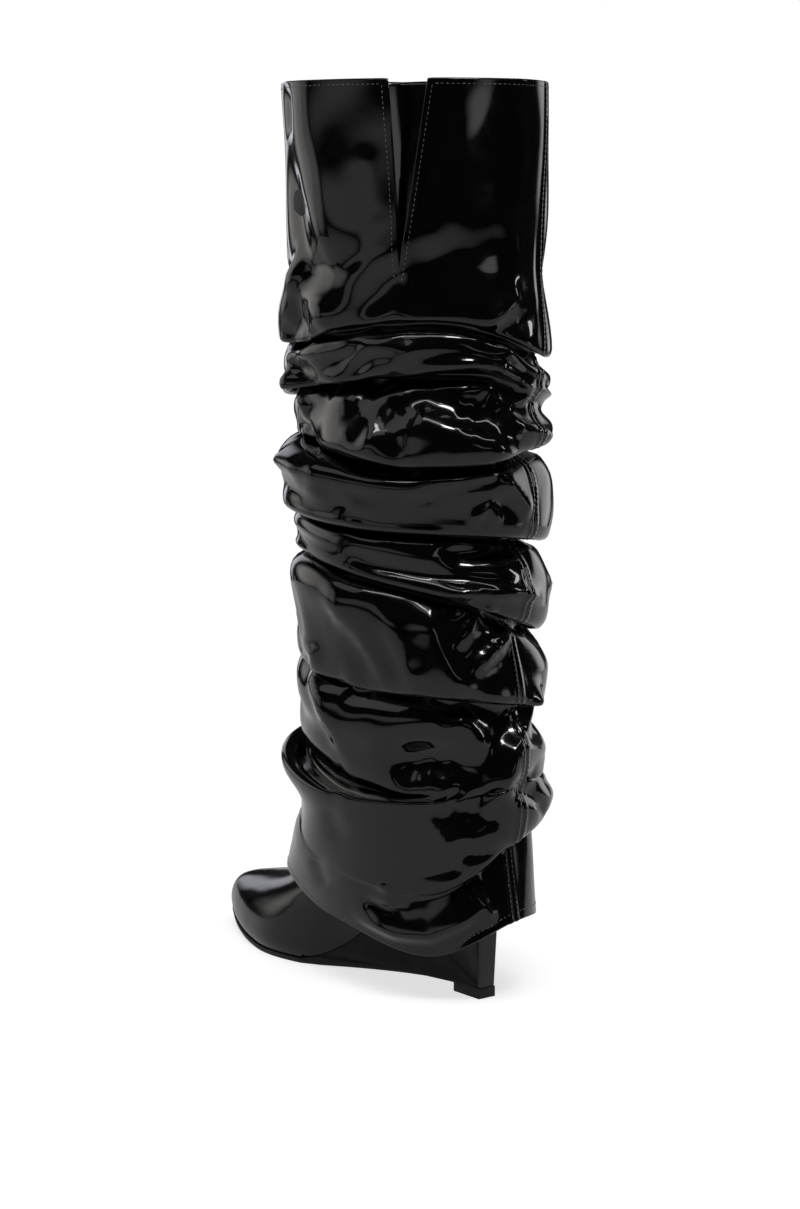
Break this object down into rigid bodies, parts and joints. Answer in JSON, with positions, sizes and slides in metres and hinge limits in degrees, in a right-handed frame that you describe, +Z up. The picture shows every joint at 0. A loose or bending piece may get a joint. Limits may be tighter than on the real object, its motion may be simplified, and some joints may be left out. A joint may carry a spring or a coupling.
{
  "type": "wedge boot",
  "caption": "Knee-high left boot: a loose pleated sleeve with a notched rim hangs over a plain almond-toed foot on a slim covered wedge heel.",
  "frame": {"origin": "on the floor, under the middle of the boot's bounding box", "axes": "+Z up along the sleeve, +Y towards the toe, -X towards the lateral side"},
  "size_m": [0.1384, 0.2702, 0.525],
  "materials": {
    "rubber": "matt black rubber",
    "heel_cover": "black glossy leather cover",
    "board": "dark lining leather",
    "patent": "black patent leather"
  },
  "bodies": {
    "root": {"outsole": "rubber", "wedge": "heel_cover", "top_lift": "rubber", "insole": "board", "upper": "patent", "shaft": "patent", "gusset": "patent"}
  },
  "joints": []
}
